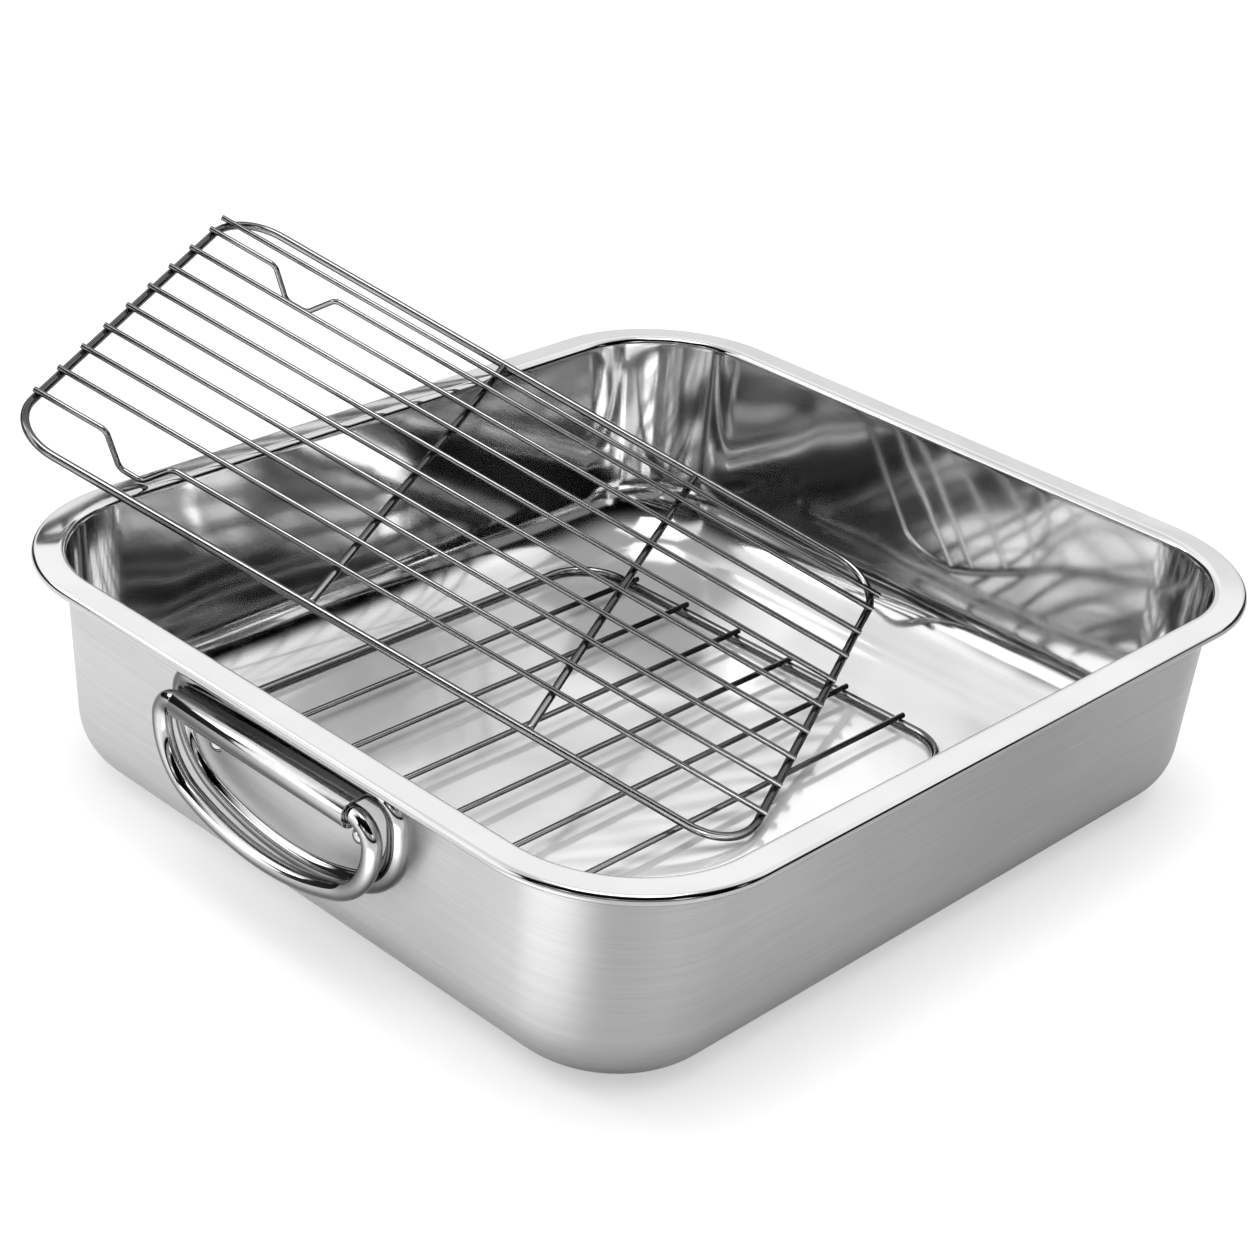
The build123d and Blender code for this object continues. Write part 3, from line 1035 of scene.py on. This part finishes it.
class PANRACK_OT_upper_rack(bpy.types.Operator):
    """Makes the tilted rack, its feet and its cross wires"""

    bl_idname = "panrack.upper_rack"
    bl_label = "Tilted rack"

    def execute(self, context):
        prepare_finishes()
        sizes = context.scene.rack_sizes
        across = heading_of("upper_cross_wire_left", Vector((0, 1, 0)))
        plane = rack_plane("upper_frame", "upper_wire_1", lambda ahead: ahead.cross(across).normalized())
        piece = add_ring("tilted_rack_frame", plane, sizes)
        stand_for(piece, "upper_rack", "upper_frame")
        straight = [(f"upper_wire_{k}", sizes.grid_wire) for k in range(1, 8)]
        straight += [("upper_edge_wire", sizes.grid_wire)]
        straight += [(f"upper_cross_wire_{side}", sizes.cross_wire) for side in ("left", "right")]
        for node, radius in straight:
            start, end = wire_ends(node)
            piece = add_wire(node.replace("upper", "tilted_rack"), start, end, radius, sizes.sides)
            stand_for(piece, "upper_rack", node)
        for side in ("near", "far"):
            node = f"upper_foot_wire_{side}"
            piece = self.add_foot_wire(node, plane["ahead"], plane["normal"], sizes)
            stand_for(piece, "upper_rack", node)
        return {"FINISHED"}

    def add_foot_wire(self, node, ahead, normal, sizes):
        """A grid wire that dips to a flat foot near its raised end."""
        points = node_points(node)
        side = normal.cross(ahead)
        low_s, high_s = spread(points, side)
        low_a, high_a = spread(points, ahead)
        low_n, high_n = spread(points, normal)
        dips = [point.dot(ahead) for point in points if point.dot(normal) < low_n + FLAT_BAND]
        sole = (min(dips) + max(dips)) / 2
        radius = sizes.grid_wire
        level = side * (low_s + high_s) / 2 + normal * (high_n - radius)
        start = level + ahead * low_a
        add_round_section(start, ahead, radius, sizes.sides)
        path = Bender(start, ahead, side)
        slope = math.atan2(sizes.foot_depth, sizes.foot_leg)
        cut = sizes.foot_bend * math.tan(slope / 2)
        leg = math.hypot(sizes.foot_depth, sizes.foot_leg) - 2 * cut
        before = sole - sizes.foot_sole / 2 - sizes.foot_leg - low_a - cut
        after = high_a - (sole + sizes.foot_sole / 2 + sizes.foot_leg) - cut
        path.straight(before)
        path.bend(sizes.foot_bend, slope, sizes.foot_steps)
        path.straight(leg)
        path.bend(sizes.foot_bend, -slope, sizes.foot_steps)
        path.straight(sizes.foot_sole - 2 * cut)
        path.bend(sizes.foot_bend, -slope, sizes.foot_steps)
        path.straight(leg)
        path.bend(sizes.foot_bend, slope, sizes.foot_steps)
        path.straight(after)
        piece = cap_ends(node.replace("upper", "tilted_rack"), radius * WIRE_END_SHARE)
        paint(piece, "wire")
        return piece


# Ground, light and camera


class StageSizes(bpy.types.PropertyGroup):
    """Places of the ground and the camera"""

    paper: size("Paper", "Side of the paper ground", 14)
    paper_gap: size("Paper gap", "Between the paper and the pan's base", 0.0002)
    target: FloatVectorProperty(
        name="Target",
        description="Where the camera looks",
        default=(-0.073, 0.0718, 0),
        subtype="TRANSLATION",
    )
    distance: size("Distance", "From the target to the camera", 1.054)
    rise: angle("Rise", "Height of the camera over the horizon", math.radians(28.3))
    heading: angle("Heading", "Turn of the camera round the pan", math.radians(42.1))
    roll: angle("Roll", "Lean of the camera", math.radians(4.68))
    lens: FloatProperty(name="Lens", description="Focal length in millimetres", default=77.86)


# The paper's glow for the camera, and the painted light and painted shade on it that only the metal's
# reflections see. Each fade has two places in metres and the values there: a painted glow that ends on
# the right, a painted bright patch before the near corner, and a painted shade on the right in a far and a
# near part.
PAPER_GLOW = 0.48
MOTTLE_DEPTH = 0.023
LEFT_GLOW = (-0.05, 0.16, 0.20, 0)
PATCH_PLACE = (0.10, -0.25, 0)
PATCH_GLOW = (0.02, 0.09, 1.0, 0)
RIGHT_SHADE = (0.12, 0.20, 0, 1)
FAR_SHADE = (-0.06, 0.12, 0, 1)
NEAR_SHADE = (-0.20, -0.13, 0.6, 0)

# The studio that the metal mirrors, by how steeply a direction rises: a ceiling that dims overhead
# and a low band of light. Each keeps to a cone, with its aim, half angle in degrees and softness.
CEILING_RISE = (0.405, 0.435, 0.03, 1.3)
CEILING_DIM = (0.6, 0.95, 1, 0.65)
CEILING_CONE = ((-0.80, 0.60, 0), 95, 0.15)
BAND_RISE = (0.10, 0.20, 0, 0.30)
BAND_END = (0.39, 0.45, 1, 0)
BAND_CONE = ((0.67, -0.74, 0), 48, 0.05)

# The even light on matt things, from the horizon to overhead
EVEN_LIGHT = (0.55, 0.98, 0.08, 1.50)

# Bright panels in the studio: aim, half angle in degrees, softness and strength
STUDIO_PANELS = (
    ((-0.60, 0.65, 0.55), 34, 0.03, 1.0),
    ((-0.50, -0.82, 0.24), 17, 0.003, 1.4),
    ((0.20, -1.00, 0.36), 4, 0.0006, 1.4),
    ((0.62, -0.78, 0.36), 3, 0.0006, 1.2),
    ((0.95, -0.20, 0.36), 6, 0.001, 1.2),
    ((0.55, 0.85, 0.36), 4, 0.001, 1.0),
    ((0.90, 0.45, 0.36), 3, 0.0006, 0.9),
)

# Lamps aimed at the pan: name, place, size and power in watts
LAMPS = (
    ("Overhead panel", (0.05, -0.05, 1.9), (1.1, 1.1), 8),
    ("Left panel", (-1.5, -0.9, 1.2), (0.5, 0.8), 4),
)


def shade_mix(tree, choice, first, second):
    """The first shader where a choice is 0 and the second where it is 1."""
    mix = tree.nodes.new("ShaderNodeMixShader")
    wire_up(tree, (choice, mix.inputs[0]), (first, mix.inputs[1]), (second, mix.inputs[2]))
    return mix.outputs[0]


def make_paper(tint, painted_shade_tint):
    """Matt paper with a faint mottle, that stays white where no shadow falls on it, with a painted glow
    and painted shade that only the metal's reflections see.
    """
    material = bpy.data.materials.new("Paper ground")
    material.use_nodes = True
    tree = material.node_tree
    shader = tree.nodes["Principled BSDF"]
    shader.inputs["Roughness"].default_value = 0.9
    shader.inputs["Specular IOR Level"].default_value = 0
    shader.inputs["Emission Color"].default_value = (1, 1, 1, 1)
    where = tree.nodes.new("ShaderNodeTexCoord").outputs["Object"]
    light_path = tree.nodes.new("ShaderNodeLightPath")
    glossy = light_path.outputs["Is Glossy Ray"]
    split = tree.nodes.new("ShaderNodeSeparateXYZ")
    reach = tree.nodes.new("ShaderNodeVectorMath")
    reach.operation = "DISTANCE"
    reach.inputs[1].default_value = PATCH_PLACE
    wire_up(tree, (where, split.inputs[0]), (where, reach.inputs[0]))

    paper = mix_node(tree, noise_node(tree, where, 30, 3), darker(tint, MOTTLE_DEPTH), tint)
    # Painted shade on the right, seen only in the metal's reflections
    far = ramp_node(tree, split.outputs["Y"], *FAR_SHADE)
    near = ramp_node(tree, split.outputs["Y"], *NEAR_SHADE)
    right = ramp_node(tree, split.outputs["X"], *RIGHT_SHADE)
    shade = math_node(tree, "MULTIPLY", right, math_node(tree, "MAXIMUM", far, near))
    shade = math_node(tree, "MULTIPLY", shade, glossy)
    tree.links.new(mix_node(tree, shade, paper, painted_shade_tint), shader.inputs["Base Color"])

    # Painted light: the paper glows on the left and in a patch, seen only in the metal's reflections
    left = ramp_node(tree, split.outputs["X"], *LEFT_GLOW)
    patch = ramp_node(tree, reach.outputs["Value"], *PATCH_GLOW)
    painted_glow = math_node(tree, "MULTIPLY", math_node(tree, "ADD", left, patch), glossy)
    seen = math_node(tree, "MULTIPLY", light_path.outputs["Is Camera Ray"], PAPER_GLOW)
    tree.links.new(math_node(tree, "ADD", seen, painted_glow), shader.inputs["Emission Strength"])
    return material


def cone_in_world(tree, where, aim, half_angle, softness):
    """1 where a direction is within a soft-edged cone round an aim, else 0."""
    dot = tree.nodes.new("ShaderNodeVectorMath")
    dot.operation = "DOT_PRODUCT"
    tree.links.new(where, dot.inputs[0])
    dot.inputs[1].default_value = Vector(aim).normalized()
    limit = math.cos(math.radians(half_angle))
    return ramp_node(tree, dot.outputs["Value"], limit - softness, limit + softness, 0, 1)


def make_studio(tree, where, rise):
    """The brightness that the metal mirrors in each direction."""
    ceiling = math_node(
        tree, "MULTIPLY", ramp_node(tree, rise, *CEILING_RISE), ramp_node(tree, rise, *CEILING_DIM)
    )
    band = math_node(tree, "MULTIPLY", ramp_node(tree, rise, *BAND_RISE), ramp_node(tree, rise, *BAND_END))
    behind = cone_in_world(tree, where, *CEILING_CONE)
    before = cone_in_world(tree, where, *BAND_CONE)
    glow = math_node(
        tree, "MAXIMUM",
        math_node(tree, "MULTIPLY", ceiling, behind),
        math_node(tree, "MULTIPLY", band, before),
    )
    for *cone, strength in STUDIO_PANELS:
        panel = math_node(tree, "MULTIPLY", cone_in_world(tree, where, *cone), strength)
        glow = math_node(tree, "MAXIMUM", panel, glow)
    return glow


def add_background(tree, strength):
    """White light from all round, its strength a number or a socket."""
    background = tree.nodes.new("ShaderNodeBackground")
    background.inputs["Color"].default_value = (1, 1, 1, 1)
    if isinstance(strength, (int, float)):
        background.inputs["Strength"].default_value = strength
    else:
        tree.links.new(strength, background.inputs["Strength"])
    return background.outputs[0]


def make_world():
    """White for the camera, even light for matt things, and a studio for the metal to mirror."""
    world = bpy.data.worlds.new("Studio")
    world.use_nodes = True
    tree = world.node_tree
    tree.nodes.clear()
    output = tree.nodes.new("ShaderNodeOutputWorld")
    path = tree.nodes.new("ShaderNodeLightPath")
    where = tree.nodes.new("ShaderNodeTexCoord").outputs["Generated"]
    split = tree.nodes.new("ShaderNodeSeparateXYZ")
    tree.links.new(where, split.inputs[0])
    rise = split.outputs["Z"]
    even = add_background(tree, ramp_node(tree, rise, *EVEN_LIGHT))
    room = add_background(tree, make_studio(tree, where, rise))
    unseen = shade_mix(tree, path.outputs["Is Glossy Ray"], even, room)
    mix = shade_mix(tree, path.outputs["Is Camera Ray"], unseen, add_background(tree, 1))
    tree.links.new(mix, output.inputs["Surface"])
    return world


def add_lamp(name, place, size, power):
    """A soft rectangular light, aimed at the pan."""
    start_piece()
    turn = (-Vector(place)).to_track_quat("-Z", "Y").to_euler()
    bpy.ops.object.light_add(type="AREA", location=place, rotation=turn)
    lamp = bpy.context.object
    lamp.name = name
    lamp.data.shape = "RECTANGLE"
    lamp.data.size, lamp.data.size_y = size
    lamp.data.energy = power
    return lamp


class PANRACK_OT_stage(bpy.types.Operator):
    """Sets the ground, the soft light and the camera"""

    bl_idname = "panrack.stage"
    bl_label = "Stage"

    def execute(self, context):
        prepare_finishes()
        stage = context.scene.pan_stage
        start_piece()
        bpy.ops.mesh.primitive_grid_add(
            x_subdivisions=8, y_subdivisions=8, size=stage.paper, location=(0, 0, -stage.paper_gap)
        )
        ground = settle("paper_ground")
        tints = context.scene.pan_finishes
        ground.data.materials.append(make_paper(tuple(tints.paper), tuple(tints.painted_shade_paper)))
        context.scene.world = make_world()
        lamps = [add_lamp(*lamp) for lamp in LAMPS]
        target = Vector(stage.target)
        back = Vector((
            math.sin(stage.heading) * math.cos(stage.rise),
            -math.cos(stage.heading) * math.cos(stage.rise),
            math.sin(stage.rise),
        ))
        right = (-back).cross(UP).normalized()
        up = right.cross(-back)
        turned_right = right * math.cos(stage.roll) + up * math.sin(stage.roll)
        turned_up = up * math.cos(stage.roll) - right * math.sin(stage.roll)
        place = Matrix((turned_right, turned_up, back)).transposed().to_4x4()
        place.translation = target + back * stage.distance
        start_piece()
        bpy.ops.object.camera_add()
        camera = context.object
        camera.name = "Camera"
        camera.data.lens = stage.lens
        camera.matrix_world = place
        context.scene.camera = camera
        context.scene.view_settings.view_transform = "Standard"
        return {"FINISHED"}


class PANRACK_PT_panel(bpy.types.Panel):
    """Sizes and colours of the roasting pan, and a button for each of its parts"""

    bl_idname = "PANRACK_PT_panel"
    bl_label = "Roasting Pan With Racks"
    bl_space_type = "VIEW_3D"
    bl_region_type = "UI"
    bl_category = "Roasting Pan"

    def draw(self, context):
        layout = self.layout
        for owner in PROPERTIES:
            box = layout.box()
            group = getattr(context.scene, owner)
            for name in group.bl_rna.properties.keys():
                if name not in ("rna_type", "name"):
                    box.prop(group, name)
        for operator in OPERATORS:
            layout.operator(operator.bl_idname)


PROPERTIES = {
    "pan_sizes": PanSizes,
    "handle_sizes": HandleSizes,
    "rack_sizes": RackSizes,
    "pan_finishes": Finishes,
    "pan_stage": StageSizes,
}
OPERATORS = (
    PANRACK_OT_pan,
    PANRACK_OT_handles,
    PANRACK_OT_brackets,
    PANRACK_OT_rivets,
    PANRACK_OT_lower_rack,
    PANRACK_OT_upper_rack,
    PANRACK_OT_stage,
)


def register():
    """Adds the properties, the operators and the panel."""
    for name, group in PROPERTIES.items():
        bpy.utils.register_class(group)
        setattr(bpy.types.Scene, name, PointerProperty(type=group))
    for operator in OPERATORS:
        bpy.utils.register_class(operator)
    bpy.utils.register_class(PANRACK_PT_panel)


def unregister():
    """Takes away what register adds."""
    bpy.utils.unregister_class(PANRACK_PT_panel)
    for operator in reversed(OPERATORS):
        bpy.utils.unregister_class(operator)
    for name, group in PROPERTIES.items():
        delattr(bpy.types.Scene, name)
        bpy.utils.unregister_class(group)


def main():
    """Makes every piece and the stage."""
    register()
    bpy.ops.panrack.pan()
    bpy.ops.panrack.handles()
    bpy.ops.panrack.brackets()
    bpy.ops.panrack.rivets()
    bpy.ops.panrack.lower_rack()
    bpy.ops.panrack.upper_rack()
    bpy.ops.panrack.stage()


if __name__ == "__main__":
    main()
